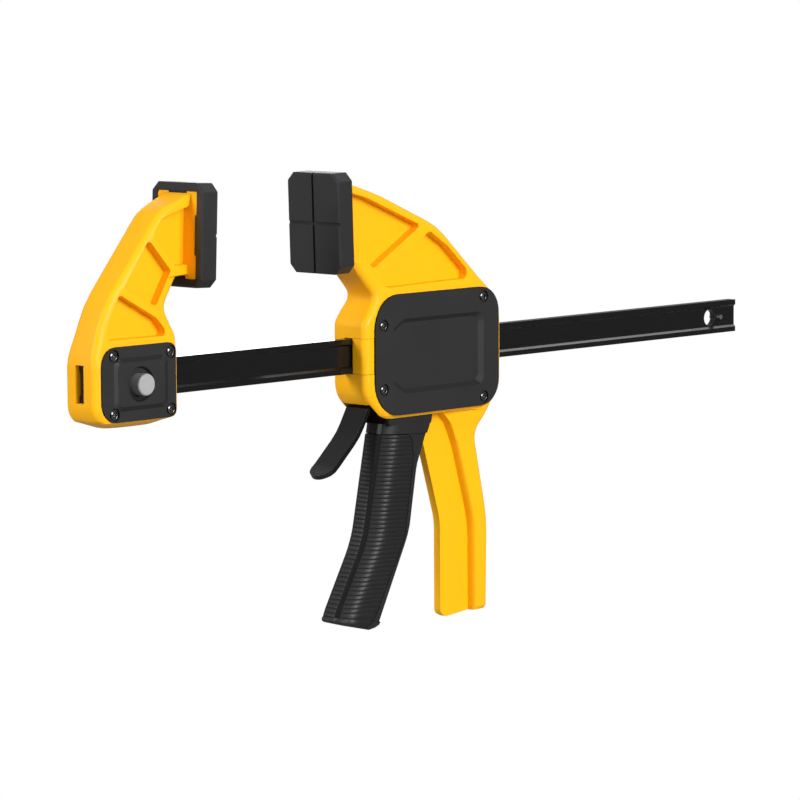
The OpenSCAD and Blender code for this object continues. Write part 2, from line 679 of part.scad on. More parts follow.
// Insert that closes the side-loading slot in front of the bar
module bar_guide(x0, x1, outer) {
    rest = -slot_t / 2;
    difference() {
        box(x0 + slack, x1, -outer + 0.01, rest, -slot_h / 2 + slack, slot_h / 2 - slack);
        slab(outline(grown(cover_edge, slack, cover_mid)), -housing_t, housing_seat);
    }
}
module front_bar_guide() {
    color(yellow) at_nose() difference() {
        bar_guide(-slack, 9 - slack, housing_t / 2);
        // rounded like the nose's front edge
        translate([edge_r, -housing_t / 2 + edge_r, 0]) difference() {
            box(-edge_r - 1, 0, -edge_r - 1, 0, -bar_h, bar_h);
            cylinder(r = edge_r, h = 3 * bar_h, center = true);
        }
    }
}
module rear_bar_guide() {
    color(yellow) at_nose() difference() {
        bar_guide(guide_end, housing_end, housing_t / 2);
        translate([housing_end - edge_r, -housing_t / 2 + edge_r, 0]) difference() {
            box(0, edge_r + 1, -edge_r - 1, 0, -bar_h, bar_h);
            cylinder(r = edge_r, h = 3 * bar_h, center = true);
        }
    }
}

module lever_pin() {
    color(steel) at_nose() rod(pivot_x, pivot_z, pin_d / 2, housing_seat - 0.15, cavity_half + 1);
}

// ---------------------------------------------------------------- plates and springs
module plate_blank(t, w, h) {
    rotate([90, 0, 90]) linear_extrude(t, center = true)
        difference() {
            polygon(outline([for (s = [[-1, -1], [1, -1], [1, 1], [-1, 1]])
                [s.x * w / 2, s.y * h / 2, 2]]));
            square([slot_t, bar_h + 0.6], center = true);
        }
}
module drive_plate_front() {
    color(steel) at_nose() translate([drive_x + drive_t / 2, 0, 0])
        plate_blank(drive_t, plate_w, plate_h);
}
module drive_plate_rear() {
    color(steel) at_nose() translate([drive_x + 1.5 * drive_t + plate_gap, 0, 0])
        plate_blank(drive_t, plate_w, plate_h);
}

// Puts a part drawn upright about the brake's axis at its rest lean
module leaning_here() { translate([brake_x, 0, brake_z]) rotate([0, brake_lean, 0]) children(); }
module leaning() { at_nose() leaning_here() children(); }
brake_w = 17;
rocker_r = 2.1;
brake_tail = 38.6;        // brake plate's length under its axis

module brake_plate() {
    hole = bar_h + 0.5 + brake_t * sin(brake_lean);
    shoulder = brake_tail - 6;
    color(steel) leaning() {
        difference() {
            union() {
                rotate([90, 0, 90]) linear_extrude(brake_t, center = true)
                    polygon(outline([[-brake_w / 2, 0, 0], [brake_w / 2, 0, 0],
                                     [brake_w / 2, 1.5 - shoulder, 1.5], [4, -shoulder, 1],
                                     [4, -brake_tail, 1], [-4, -brake_tail, 1],
                                     [-4, -shoulder, 1], [-brake_w / 2, 1.5 - shoulder, 1.5]]));
                // rolled edge that rocks between the anchors
                rod(0, 0, rocker_r, -brake_w / 2, brake_w / 2);
            }
            translate([0, 0, -brake_z / cos(brake_lean)]) cube([brake_w, slot_t, hole], center = true);
        }
    }
}

module brake_spring() {
    drop = brake_z - post_z;
    x0 = brake_x - drop * tan(brake_lean) + brake_t / 2 / cos(brake_lean) + 0.5;
    color(steel) at_nose() translate([0, 0, post_z]) coil(x0, post_x, 2.6, 2.6, 0.35, 5, 12, 6);
}

module drive_spring() {
    color(steel) at_nose()
        coil(drive_x + 2 * drive_t + plate_gap + 0.05, guide_end - 0.05, 6.2, 13.4, 0.75, 8, 18, 6);
}

// ---------------------------------------------------------------- squeeze lever
// Front and rear of the lever's grip, rising, and the rear end of its ribs
grip_low = -151.4;
rib_low = -148.4;
rib_top = -46;
lever_top = -40.4;
grip_front = run_of([[-18.2, grip_low, 0], [-19.5, grip_low + 1.2, 0.8], [5.3, -107, 50],
                     [18.8, lever_top, 0]]);
grip_rear = run_of([[4, -157.4, 0], [13, -156.2, 7], [39.6, -104, 40], [46, -66, 30], [58, -38, 0]]);
rib_rear = run_of([[9, -152.4, 0], [34.6, -108, 40], [42.4, -62, 20], [40.5, -44, 0]]);

// Rings lean backwards a little, and more at the foot
function grip_tilt(z) = lookup(z, [[grip_low, 0.27], [grip_low + 6.4, 0.06]]);
function grip_reach(z) = lookup(z, [[grip_low, 22], [grip_low + 1.2, 28], [grip_low + 5.4, 34]]);
function behind(z, side) = lookup(z - grip_tilt(z) * grip_reach(z), side);

// Half section of the grip from the front's middle round to the side, sunk by d:
// a front strip, a valley, a round shoulder and a flat side
function grip_half_section(xf, xr, w, d) =
    [[xf + d, 0.3 * d - 4.3], [xf + 0.6 + d, 0.3 * d - 5], [xf + 2.6 + 0.8 * d, 0.2 * d - 5.6],
     [xf + 3.2 + d, 0.3 * d - 0.64 * w], [xf + 5.2 + d, 0.5 * d - 0.8 * w],
     [xf + 7.8 + d, 0.8 * d - 0.94 * w], [xf + 12, d - w], [xr, d - w]];
// Both halves at height z, from the rear on the +Y side round to the rear on the -Y side
function grip_ring(z, front, side, w, d) =
    let (xf = lookup(z, front), h = grip_half_section(xf, behind(z, side), w, d), n = len(h))
    [for (p = concat([for (i = [n - 1:-1:0]) [h[i].x, -h[i].y]], h))
        [p.x, p.y, z - grip_tilt(z) * (p.x - xf)]];

core_in = 1.5;            // how far the lever's core lies under the grip's skin
wall = 2.6;               // wall of the lever's channel

module squeeze_lever() {
    gf = swapped(grip_front);
    gr = swapped(grip_rear);
    bends = concat([for (p = gf) p.x], [for (p = gr) if (p.x > rib_low + 2) p.x]);
    inner = [for (z = spaced(bends, 0.3)) if (z > rib_low + 0.6 && z < rib_top - 0.6) z];
    zs = concat([grip_low, grip_low + 1.2, grip_low + 2.2, rib_low, rib_low + 0.1], inner,
                [rib_top - 0.1, rib_top, lever_top]);
    color(black) at_nose() difference() {
        union() {
            // channel-shaped grip, full width behind the ribbed skin and at its ends
            loft([for (z = zs)
                grip_ring(z, gf, gr, grip_half - 0.8, z > rib_low && z < rib_top ? core_in : 0.3)]);
            // fork round the bar
            both_sides() slab(outline([[20, -41, 2], [28, -28, 4], [40, -14, 6], [pivot_x - 6, 0, 6],
                                       [pivot_x - 6, 23.4, 6], [pivot_x + 6, 23.4, 6], [pivot_x + 6, -4, 4],
                                       [pivot_x + nose_dx, -6, 2], [pivot_x + nose_dx, -25, 2],
                                       [60, -28.5, 2], [56.8, -42.6, 1]]),
                              -fork_half, -fork_half + fork_t);
            both_sides() rod(pivot_x + nose_dx, nose_z, nose_r, -fork_half, -fork_half + fork_t);
        }
        // inside of the channel, open to the rear
        bore = [for (p = gf) if (p.x > grip_low + 5 && p.x < lever_top) p.x];
        loft([for (z = concat([grip_low + 3.4], bore, [lever_top + 1]))
            let (xf = lookup(z, gf), a = xf + wall + 2, w = fork_half - fork_t)
            [for (p = [[a, -w * 0.55], [a + 3.5, -w], [84, -w], [84, w], [a + 3.5, w], [a, w * 0.55]])
                [p.x, p.y, z - grip_tilt(z) * (p.x - xf)]]]);
        both_sides() rod(pivot_x, pivot_z, pin_d / 2 + run, -20, -1);
    }
}

// Ribbed skin over the front and sides of the grip
module lever_grip() {
    gf = swapped(grip_front);
    rr = swapped(rib_rear);
    step = (rib_top - rib_low - 0.4) / (2 * grip_ribs);
    zs = [for (i = [0:2 * grip_ribs]) rib_low + 0.2 + i * step];
    color(black) at_nose()
        shell([for (i = [0:2 * grip_ribs]) grip_ring(zs[i], gf, rr, grip_half, i % 2 == 0 ? rib_h : 0)],
              [for (z = zs) grip_ring(z, gf, rr, grip_half - 0.8, core_in - 0.12)]);
}

// ---------------------------------------------------------------- release lever
// Front of the paddle from its shank down to its tip
paddle_front = [[15.6, -20.4, 0], [6.6, -30.2, 9], [-1.6, -44.4, 40], [-20.6, -61.9, 30], [-28, -66.2, 0]];
tip_lean = 33;            // degrees the paddle's end falls under level

module release_lever() {
    front = run_of(paddle_front);
    n = len(front);
    back = [for (i = [0:n - 1])
        let (t = unit(front[min(i + 1, n - 1)] - front[max(i - 1, 0)])) front[i] + paddle_t * [-t.y, t.x]];
    side = concat(front, [for (i = [n - 1:-1:0]) back[i]]);
    shank = 4;
    along = [cos(tip_lean), sin(tip_lean)];
    mid = front[n - 1] + paddle_w / 2 * along;
    cross_end = [for (k = [-16, 16]) mid + k * [-along.y, along.x]];
    color(black) at_nose() difference() {
        union() {
            intersection() {
                slab(side, -paddle_w / 2, paddle_w / 2);
                // seen along the paddle: narrow shank, wide blade, round tip
                union() {
                    box(-40, 40, -shank, shank, -40, 0);
                    slab(concat(cross_end, [[-10, -29], [40, -29], [40, -70]]),
                         -paddle_w / 2, paddle_w / 2);
                    translate([mid.x, 0, mid.y]) rotate([0, -tip_lean, 0])
                        cylinder(r = paddle_w / 2, h = 30, center = true);
                }
            }
            // socket over the brake plate's tail
            leaning_here() box(-brake_t / 2 - 2, brake_t / 2 + 1.2, -shank - 1.6, shank + 1.6,
                               -brake_tail - 1.6, -brake_tail + 4.4);
        }
        leaning_here() box(-brake_t / 2 - 0.08, brake_t / 2 + 0.08, -shank - 0.1, shank + 0.1,
                           -brake_tail - 0.05, 0);
    }
}

bar();
stop_pin();
fixed_jaw();
fixed_pad();
fixed_jaw_cover();
fixed_cover_screws();
lock_spring();
quick_change_button();
lock_yoke();
housing();
moving_pad();
housing_cover();
housing_screws();
front_bar_guide();
rear_bar_guide();
lever_pin();
brake_spring();
drive_spring();
squeeze_lever();
lever_grip();
release_lever();
brake_plate();
drive_plate_front();
drive_plate_rear();
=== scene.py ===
import json
import math

import bpy
import bmesh
import numpy as np
from mathutils import Matrix, Vector


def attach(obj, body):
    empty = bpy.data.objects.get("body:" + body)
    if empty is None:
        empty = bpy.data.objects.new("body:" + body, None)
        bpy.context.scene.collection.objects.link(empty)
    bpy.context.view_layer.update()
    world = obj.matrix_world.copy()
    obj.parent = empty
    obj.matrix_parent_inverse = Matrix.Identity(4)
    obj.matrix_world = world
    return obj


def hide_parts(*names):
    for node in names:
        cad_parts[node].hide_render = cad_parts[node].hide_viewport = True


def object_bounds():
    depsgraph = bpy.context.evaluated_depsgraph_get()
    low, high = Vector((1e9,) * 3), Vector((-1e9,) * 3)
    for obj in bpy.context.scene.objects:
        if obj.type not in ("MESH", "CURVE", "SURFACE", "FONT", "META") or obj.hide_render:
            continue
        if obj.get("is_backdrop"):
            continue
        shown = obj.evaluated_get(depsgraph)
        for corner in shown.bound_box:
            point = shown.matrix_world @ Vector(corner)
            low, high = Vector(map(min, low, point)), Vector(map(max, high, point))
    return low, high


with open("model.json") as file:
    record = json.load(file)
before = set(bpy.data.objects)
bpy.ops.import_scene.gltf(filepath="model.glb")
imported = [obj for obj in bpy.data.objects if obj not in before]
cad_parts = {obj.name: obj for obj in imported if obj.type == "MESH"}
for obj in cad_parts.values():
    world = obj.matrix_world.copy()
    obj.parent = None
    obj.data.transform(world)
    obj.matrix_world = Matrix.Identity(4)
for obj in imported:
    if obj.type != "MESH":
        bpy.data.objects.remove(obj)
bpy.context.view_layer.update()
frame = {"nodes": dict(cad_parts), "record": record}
nodes = frame["nodes"]
print("frame loaded:", len(nodes), "nodes")

# camera: where it stands, in metres, its turn from +Y towards +X, its tilt down and its roll, in degrees
cameraView = {
    "place": (-1.92517, -1.60067, 0.22826),
    "turn": 45.844,
    "tilt": 6.3832,
    "roll": 0.3056,
    "lens": 180.0,
    "sensor": 36.0,
}


def makeCamera(view):
    turn, tilt, roll = (math.radians(view[k]) for k in ("turn", "tilt", "roll"))
    ahead = Vector((math.sin(turn) * math.cos(tilt), math.cos(turn) * math.cos(tilt), -math.sin(tilt)))
    right = ahead.cross(Vector((0, 0, 1))).normalized()
    down = ahead.cross(right)
    rightRolled = right * math.cos(roll) + down * math.sin(roll)
    downRolled = down * math.cos(roll) - right * math.sin(roll)
    data = bpy.data.cameras.new("camera")
    data.lens, data.sensor_width = view["lens"], view["sensor"]
    data.clip_start, data.clip_end = 0.1, 20
    camera = bpy.data.objects.new("camera", data)
    turnMatrix = Matrix((rightRolled, -downRolled, -ahead)).transposed()
    camera.matrix_world = Matrix.Translation(view["place"]) @ turnMatrix.to_4x4()
    bpy.context.collection.objects.link(camera)
    bpy.context.scene.camera = camera


makeCamera(cameraView)
print("camera placed")

# studio: softboxes as (name, place, size, watts), aimed at the clamp's middle, with a pale floor far below;
# the world's light fades from above to below between plus and minus the fade height of the direction
studio = {
    "aim": (-0.25, 0.0, -0.02),
    "lightAbove": 0.4,
    "lightBelow": 0.08,
    "fade": 0.7,
    "backdrop": 1.0,
    "floorDrop": 0.9,
    "floorSize": 60.0,
    "floorGrey": 0.3,
    "floorRough": 0.9,
    "lamps": [
        ("keyLight", (-0.5, -2.85, 1.1), 1.4, 109.0),
        ("sideLight", (-4.3, 1.35, 1.5), 1.5, 126.0),
        ("topLight", (1.7, -0.35, 1.75), 0.6, 4.0),
        ("backLight", (1.2, 2.4, 0.6), 1.4, 26.0),
        ("lowLight", (-2.6, -1.9, -0.5), 1.2, 5.0),
    ],
}


def whiteForCamera(tree, shown, output, other):
    # the camera sees plain white, everything else meets the other shader
    link = tree.links.new
    path = tree.nodes.new("ShaderNodeLightPath")
    isWorld = other.bl_idname == "ShaderNodeBackground"
    glow = tree.nodes.new("ShaderNodeBackground" if isWorld else "ShaderNodeEmission")
    glow.inputs["Color"].default_value = (1, 1, 1, 1)
    glow.inputs["Strength"].default_value = shown
    pick = tree.nodes.new("ShaderNodeMixShader")
    link(path.outputs["Is Camera Ray"], pick.inputs["Fac"])
    link(other.outputs[0], pick.inputs[1])
    link(glow.outputs[0], pick.inputs[2])
    link(pick.outputs[0], output.inputs["Surface"])


def makeStudio(settings):
    scene = bpy.context.scene
    scene.view_settings.view_transform = "Standard"
    world = bpy.data.worlds.new("studioWorld")
    world.use_nodes = True
    tree = world.node_tree
    # bright ceiling, dim ground: strength rises with the height of the direction
    sky = tree.nodes["Background"]
    sky.inputs["Color"].default_value = (1, 1, 1, 1)
    ray = tree.nodes.new("ShaderNodeTexCoord")
    split = tree.nodes.new("ShaderNodeSeparateXYZ")
    rise = tree.nodes.new("ShaderNodeMapRange")
    for key, value in (("From Min", -settings["fade"]), ("From Max", settings["fade"]),
                       ("To Min", settings["lightBelow"]), ("To Max", settings["lightAbove"])):
        rise.inputs[key].default_value = value
    tree.links.new(ray.outputs["Generated"], split.inputs[0])
    tree.links.new(split.outputs["Z"], rise.inputs["Value"])
    tree.links.new(rise.outputs["Result"], sky.inputs["Strength"])
    whiteForCamera(tree, settings["backdrop"], tree.nodes["World Output"], sky)
    scene.world = world
    aim = Vector(settings["aim"])
    for name, place, size, watts in settings["lamps"]:
        data = bpy.data.lights.new(name, "AREA")
        data.shape, data.size, data.energy = "SQUARE", size, watts
        lamp = bpy.data.objects.new(name, data)
        lamp.location = place
        lamp.rotation_mode = "QUATERNION"
        lamp.rotation_quaternion = (aim - Vector(place)).to_track_quat("-Z", "Y")
        bpy.context.collection.objects.link(lamp)
    half = settings["floorSize"] / 2
    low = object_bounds()[0][2] - settings["floorDrop"]
    mesh = bpy.data.meshes.new("floor")
    corners = [(-half, -half, low), (half, -half, low), (half, half, low), (-half, half, low)]
    mesh.from_pydata(corners, [], [(0, 1, 2, 3)])
    floor = bpy.data.objects.new("floor", mesh)
    bpy.context.collection.objects.link(floor)
    paper = bpy.data.materials.new("studioPaper")
    paper.use_nodes = True
    tree = paper.node_tree
    shader = tree.nodes["Principled BSDF"]
    grey = settings["floorGrey"]
    shader.inputs["Base Color"].default_value = (grey, grey, grey, 1)
    shader.inputs["Roughness"].default_value = settings["floorRough"]
    whiteForCamera(tree, settings["backdrop"], tree.nodes["Material Output"], shader)
    mesh.materials.append(paper)
    floor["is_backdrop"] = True


makeStudio(studio)
print("studio made")


# materials: every finish starts from one Principled shader, with a hard plastic's index of refraction
plasticIndex = 1.5


def newMaterial(name, settings):
    material = bpy.data.materials.new(name)
    material.use_nodes = True
    shader = material.node_tree.nodes["Principled BSDF"]
    shader.inputs["Metallic"].default_value = settings.get("metal", 0.0)
    shader.inputs["IOR"].default_value = plasticIndex
    shader.inputs["Specular IOR Level"].default_value = settings.get("shine", 0.5)
    return material, material.node_tree, shader


def addNode(tree, kind, values=(), **facts):
    node = tree.nodes.new(kind)
    for key, value in facts.items():
        setattr(node, key, value)
    for key, value in dict(values).items():
        node.inputs[key].default_value = value
    return node


def variedFinish(tree, shader, settings, spread, relief):
    # the spread noise mixes colour and gloss between their two ends, and the relief noise gives the bump
    link = tree.links.new
    tint = addNode(tree, "ShaderNodeMix", data_type="RGBA")
    tint.inputs["A"].default_value = (*settings["colour"], 1)
    tint.inputs["B"].default_value = (*settings["shade"], 1)
    link(spread.outputs["Fac"], tint.inputs["Factor"])
    link(tint.outputs["Result"], shader.inputs["Base Color"])
    ends = {"To Min": settings["rough"][0], "To Max": settings["rough"][1]}
    gloss = addNode(tree, "ShaderNodeMapRange", ends)
    link(spread.outputs["Fac"], gloss.inputs["Value"])
    link(gloss.outputs["Result"], shader.inputs["Roughness"])
    bump = addNode(tree, "ShaderNodeBump", {"Strength": settings["bump"], "Distance": settings["bumpDepth"]})
    link(relief.outputs["Fac"], bump.inputs["Height"])
    link(bump.outputs["Normal"], shader.inputs["Normal"])
    return tint, gloss


def mouldedPlastic(name, settings):
    # grain and faint flow marks on the object's own coordinates, mixed into colour, gloss and bump
    material, tree, shader = newMaterial(name, settings)
    link = tree.links.new
    place = addNode(tree, "ShaderNodeTexCoord")
    cloud = addNode(tree, "ShaderNodeTexNoise", {"Scale": settings["cloudScale"], "Detail": 4.0})
    grain = addNode(tree, "ShaderNodeTexNoise",
                    {"Scale": settings["grainScale"], "Detail": 2.0, "Roughness": 0.6})
    link(place.outputs["Object"], cloud.inputs["Vector"])
    link(place.outputs["Object"], grain.inputs["Vector"])
    tint, gloss = variedFinish(tree, shader, settings, cloud, grain)
    if "side" in settings:
        # painted shade: the front face keeps its colour, and the side behind it turns to the darker side
        # colour, standing in for the shade of the recess around the button
        split = addNode(tree, "ShaderNodeSeparateXYZ")
        edges = {"From Min": settings["sideFrom"], "From Max": settings["sideTo"]}
        behind = addNode(tree, "ShaderNodeMapRange", edges)
        turned = addNode(tree, "ShaderNodeMix", data_type="RGBA")
        turned.inputs["B"].default_value = (*settings["side"], 1)
        link(place.outputs["Object"], split.inputs[0])
        link(split.outputs["Y"], behind.inputs["Value"])
        link(behind.outputs["Result"], turned.inputs["Factor"])
        link(tint.outputs["Result"], turned.inputs["A"])
        link(turned.outputs["Result"], shader.inputs["Base Color"])
    if "roughAndShaded" in settings:
        # where the piece's own mark says so, the finish turns rough, and its colour turns darker as painted
        # shade
        mark = addNode(tree, "ShaderNodeAttribute", attribute_name=settings["roughAndShaded"])
        rougher = addNode(tree, "ShaderNodeMapRange", {"To Max": settings["dullRough"]})
        link(mark.outputs["Fac"], rougher.inputs["Value"])
        link(gloss.outputs["Result"], rougher.inputs["To Min"])
        link(rougher.outputs["Result"], shader.inputs["Roughness"])
        paintedShadeMix = addNode(tree, "ShaderNodeMix", data_type="RGBA")
        paintedShadeMix.inputs["B"].default_value = (*settings["paintedShadeColour"], 1)
        link(mark.outputs["Fac"], paintedShadeMix.inputs["Factor"])
        link(tint.outputs["Result"], paintedShadeMix.inputs["A"])
        link(paintedShadeMix.outputs["Result"], shader.inputs["Base Color"])
    return material


def drawnMetal(name, settings):
    # fine scratches: a noise scaled along each axis of the object, and drawn out along the least scaled one
    material, tree, shader = newMaterial(name, settings)
    link = tree.links.new
    place = addNode(tree, "ShaderNodeTexCoord")
    stretch = addNode(tree, "ShaderNodeMapping")
    stretch.inputs["Scale"].default_value = settings["stretch"]
    link(place.outputs["Object"], stretch.inputs["Vector"])
    scratch = addNode(tree, "ShaderNodeTexNoise", {"Scale": settings["scratchScale"], "Detail": 6.0})
    link(stretch.outputs["Vector"], scratch.inputs["Vector"])
    variedFinish(tree, shader, settings, scratch, scratch)
    return material


finishes = {
    "yellowNylon": mouldedPlastic("yellowNylon", {
        "colour": (0.95, 0.452, 0.003), "shade": (0.93, 0.428, 0.003),
        "cloudScale": 18.0, "grainScale": 2600.0,
        "rough": (0.38, 0.5), "bump": 0.1, "bumpDepth": 0.00006, "shine": 0.22}),
    "blackCoverPlastic": mouldedPlastic("blackCoverPlastic", {
        "colour": (0.0092, 0.0092, 0.0097), "shade": (0.0128, 0.0128, 0.0133),
        "cloudScale": 30.0, "grainScale": 1800.0,
        "rough": (0.5, 0.62), "bump": 0.3, "bumpDepth": 0.0001, "shine": 0.4,
        # the wall mark: a rougher finish and painted shade on the recess walls
        "roughAndShaded": "wall", "dullRough": 0.85, "paintedShadeColour": (0.0035, 0.0035, 0.0038)}),
    "blackLeverPlastic": mouldedPlastic("blackLeverPlastic", {
        "colour": (0.008, 0.008, 0.0084), "shade": (0.011, 0.011, 0.0115),
        "cloudScale": 26.0, "grainScale": 2400.0,
        "rough": (0.5, 0.6), "bump": 0.2, "bumpDepth": 0.00008, "shine": 0.35}),
    "glossyBlackPlastic": mouldedPlastic("glossyBlackPlastic", {
        "colour": (0.0022, 0.0022, 0.0024), "shade": (0.0035, 0.0035, 0.0038),
        "cloudScale": 26.0, "grainScale": 2400.0,
        "rough": (0.2, 0.28), "bump": 0.06, "bumpDepth": 0.00005, "shine": 0.4}),
    "gripRubber": mouldedPlastic("gripRubber", {
        "colour": (0.0038, 0.0038, 0.0041), "shade": (0.006, 0.006, 0.0064),
        "cloudScale": 34.0, "grainScale": 2000.0,
        "rough": (0.42, 0.52), "bump": 0.15, "bumpDepth": 0.00006, "shine": 0.4,
        # the valley mark: a rougher finish and painted shade in the groove beside the front strip
        "roughAndShaded": "valley", "dullRough": 0.95, "paintedShadeColour": (0.001, 0.001, 0.0011)}),
    "padRubber": mouldedPlastic("padRubber", {
        "colour": (0.0135, 0.0135, 0.014), "shade": (0.0185, 0.0185, 0.019),
        "cloudScale": 24.0, "grainScale": 1500.0,
        "rough": (0.4, 0.52), "bump": 0.25, "bumpDepth": 0.0001, "shine": 0.35}),
    "greyButtonPlastic": mouldedPlastic("greyButtonPlastic", {
        "colour": (0.37, 0.37, 0.372), "shade": (0.29, 0.29, 0.292),
        "cloudScale": 160.0, "grainScale": 1600.0,
        "rough": (0.5, 0.62), "bump": 0.3, "bumpDepth": 0.00012, "shine": 0.35,
        # side: painted shade, darker than the button's face
        "side": (0.15, 0.15, 0.152), "sideFrom": -0.0192, "sideTo": -0.0184}),
    "blackBarPaint": drawnMetal("blackBarPaint", {
        "colour": (0.0035, 0.0035, 0.0037), "shade": (0.006, 0.006, 0.0063),
        "stretch": (4, 60, 60), "scratchScale": 22.0,
        "rough": (0.16, 0.26), "bump": 0.08, "bumpDepth": 0.00004, "shine": 0.45}),
    "plateSteel": drawnMetal("plateSteel", {
        "colour": (0.55, 0.56, 0.58), "shade": (0.4, 0.41, 0.43),
        "stretch": (40, 40, 3), "scratchScale": 18.0,
        "rough": (0.26, 0.4), "bump": 0.2, "bumpDepth": 0.00005, "metal": 1.0}),
    "springSteel": drawnMetal("springSteel", {
        "colour": (0.42, 0.43, 0.46), "shade": (0.3, 0.31, 0.33),
        "stretch": (30, 30, 30), "scratchScale": 14.0,
        "rough": (0.24, 0.38), "bump": 0.15, "bumpDepth": 0.00004, "metal": 1.0}),
    "screwSteel": drawnMetal("screwSteel", {
        "colour": (0.15, 0.15, 0.152), "shade": (0.08, 0.08, 0.082),
        "stretch": (30, 30, 30), "scratchScale": 20.0,
        "rough": (0.18, 0.28), "bump": 0.15, "bumpDepth": 0.00004, "metal": 1.0}),
}
slotFinish = {
    "bar_paint": "blackBarPaint",
    "steel": "plateSteel",
    "spring_steel": "springSteel",
    "screw_steel": "screwSteel",
    "yellow_plastic": "yellowNylon",
    "black_plastic": "blackCoverPlastic",
    "lever_plastic": "blackLeverPlastic",
    "grip_rubber": "gripRubber",
    "pad_rubber": "padRubber",
    "grey_plastic": "greyButtonPlastic",
}
print("materials made:", len(finishes))


# CAD nodes: each gets its slot's finish, and the moulded ones a merged copy with softened edges
def setFinish(thing, finish):
    thing.data.materials.clear()
    thing.data.materials.append(finishes[finish])


nodeSlot = {part["node"]: part["material_slot"] for part in frame["record"]["subparts"]}
for nodeName, slotName in nodeSlot.items():
    setFinish(nodes[nodeName], slotFinish[slotName])

# each moulded piece: body it rides on, edge radius in mm, steepest angle that still shades smooth
moulded = {
    "bar": ("bar", 0.3, 30),
    "fixed_jaw": ("bar", 0.9, 33),
    "housing": ("sliding_jaw", 0.9, 33),
    "fixed_pad": ("bar", 0.5, 30),
    "moving_pad": ("sliding_jaw", 0.5, 30),
    "fixed_jaw_cover": ("bar", 0.6, 9),
    "housing_cover": ("sliding_jaw", 0.6, 9),
    "front_bar_guide": ("sliding_jaw", 0.25, 40),
    "rear_bar_guide": ("sliding_jaw", 0.25, 40),
    "quick_change_button": ("quick_change", 0.3, 30),
    "squeeze_lever": ("squeeze_lever", 0.4, 30),
    "release_lever": ("release_lever", 0.6, 30),
}

# a piece whose finish differs from its slot's usual one
ownFinish = {"release_lever": "glossyBlackPlastic"}

# planes that lengths along X are measured from, in mm: the fixed jaw's back and the sliding jaw's nose
backPlane = -522.0
nosePlane = -318.6

# screws of each cover: places as (X past that cover's plane, Z), in mm
screwPlaces = {
    "fixed_jaw_cover": [(12.8, 14.9), (54.0, 14.6), (12.8, -16.5), (54.0, -16.8)],
    "housing_cover": [(14.4, 16.9), (97.8, 28.5), (14.4, -19.8), (98.0, -30.4)],
}

# where the palm flange widens into the housing: its front corners start as wide as the flange
flare = {"from": nosePlane, "front": 77.0, "reach": 14.0, "half": 7.5, "low": -53.0, "high": -38.7,
         "slotTop": -37.3, "slotNear": 0.2}


def easedFlare(mesh, facts):
    # half width grows from the flange's to the flare's by a smooth step along X, between two heights
    places = np.empty(len(mesh.vertices) * 3)
    mesh.vertices.foreach_get("co", places)
    places = places.reshape(-1, 3) * 1000
    share = np.clip((places[:, 0] - facts["from"] - facts["front"]) / facts["reach"], 0, 1)
    share = share * share * (3 - 2 * share)
    atSlot = np.abs(places[:, 0] - facts["from"] - facts["front"]) < facts["slotNear"]
    high = np.where(atSlot, facts["slotTop"], facts["high"])
    inside = (places[:, 2] > facts["low"]) & (places[:, 2] < high) & (np.abs(places[:, 1]) > facts["half"])
    eased = facts["half"] + (np.abs(places[:, 1]) - facts["half"]) * share
    places[:, 1] = np.where(inside, np.sign(places[:, 1]) * eased, places[:, 1])
    mesh.vertices.foreach_set("co", (places / 1000).ravel())


# covers: screw seats pressed a little deeper and wider, and the housing cover's sunk panel deeper
coverRelief = {
    "fixed_jaw_cover": {"from": backPlane, "seat": -12.6, "deeper": 0.4, "boreRadius": 3.2, "wider": 0.45,
                        "places": screwPlaces["fixed_jaw_cover"]},
    "housing_cover": {"from": nosePlane, "seat": -13.6, "deeper": 0.4, "boreRadius": 3.2, "wider": 0.45,
                      "places": screwPlaces["housing_cover"],
                      "panel": (20.0, 101.0, -24.0, 21.0), "panelDeeper": 0.78},
}
# how near a point lies to a height, or to a ring, to count as on it, in mm
heightNear, ringNear = 0.03, 0.1


def deepenedRelief(mesh, facts):
    # a seat's points sink by the deeper amount, the points on its rim move out from the screw's axis in the
    # ratio of the wider radius to their own, and the panel's points sink by the panel's amount
    places = np.empty(len(mesh.vertices) * 3)
    mesh.vertices.foreach_get("co", places)
    places = places.reshape(-1, 3) * 1000
    x, y, z = places[:, 0] - facts["from"], places[:, 1].copy(), places[:, 2]
    onSeat = np.abs(y - facts["seat"]) < heightNear
    nearScrew = np.zeros(len(x), bool)
    for centreX, centreZ in facts["places"]:
        away = np.hypot(x - centreX, z - centreZ)
        nearScrew |= away < facts["boreRadius"] + ringNear
        rim = (np.abs(away - facts["boreRadius"]) < ringNear) & (y < facts["seat"] + heightNear)
        grow = np.where(rim, (facts["boreRadius"] + facts["wider"]) / np.maximum(away, ringNear), 1)
        places[:, 0] = facts["from"] + centreX + (places[:, 0] - facts["from"] - centreX) * grow
        places[:, 2] = centreZ + (places[:, 2] - centreZ) * grow
    places[:, 1] += np.where(onSeat & nearScrew, facts["deeper"], 0)
    if "panel" in facts:
        left, right, low, high = facts["panel"]
        inPanel = onSeat & ~nearScrew & (x > left) & (x < right) & (z > low) & (z < high)
        places[:, 1] += np.where(inPanel, facts["panelDeeper"], 0)
    mesh.vertices.foreach_set("co", (places / 1000).ravel())


# shares of a face's normal: what faces the front, and what is a gentle slope that faces left
wallLimits = {"front": 0.97, "left": -0.15, "gentle": 0.6}


